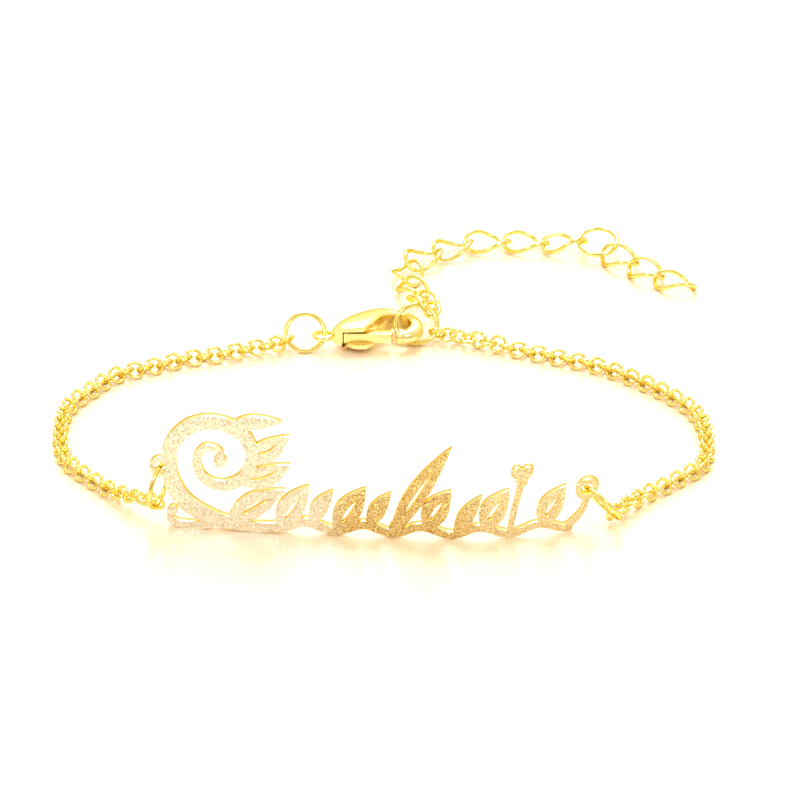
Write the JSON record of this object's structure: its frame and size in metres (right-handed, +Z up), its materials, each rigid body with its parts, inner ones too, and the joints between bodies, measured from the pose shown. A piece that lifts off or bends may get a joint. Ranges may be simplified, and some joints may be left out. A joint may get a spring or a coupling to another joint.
{
  "type": "nameplate bracelet",
  "caption": "Fine chain bracelet with a curved, pierced ornamental plate at the front, a lobster clasp and an extension chain at the back, lying closed on a surface.",
  "frame": {"origin": "middle of the wrist opening, on the surface that the bracelet lies on", "axes": "+X along the plate from its scroll to its vine's end, +Y from the plate to the clasp and the extension, +Z up from the surface"},
  "size_m": [0.0637, 0.068, 0.0122],
  "materials": {
    "plate_gold": "frosted face, polished edges",
    "chain_gold": "polished",
    "ring_gold": "polished",
    "clasp_gold": "polished",
    "extension_gold": "polished"
  },
  "bodies": {
    "bracelet": {"nameplate": "plate_gold", "plate_ring_left": "ring_gold", "plate_ring_right": "ring_gold", "chain_left": "chain_gold", "chain_right": "chain_gold", "clasp_ring": "ring_gold", "clasp_body": "clasp_gold", "clasp_rivet": "clasp_gold", "end_ring": "ring_gold", "ext_link_01": "extension_gold", "ext_link_02": "extension_gold", "ext_link_03": "extension_gold", "ext_link_04": "extension_gold", "ext_link_05": "extension_gold", "ext_link_06": "extension_gold", "ext_link_07": "extension_gold", "ext_link_08": "extension_gold", "ext_link_09": "extension_gold", "ext_ring": "ring_gold", "ext_link_10": "extension_gold", "ext_link_11": "extension_gold", "ext_link_12": "extension_gold"},
    "lever": {"clasp_lever": "clasp_gold"}
  },
  "joints": [
    {"name": "lever_hinge", "type": "hinge", "parent": "bracelet", "child": "lever", "pos_m": [-0.0033, 0.0206, 0.0014], "axis": [0, 0, 1], "range_deg": [0, 18], "stiffness_Nm_per_rad": 0.0004, "springref_deg": -20.05}
  ]
}
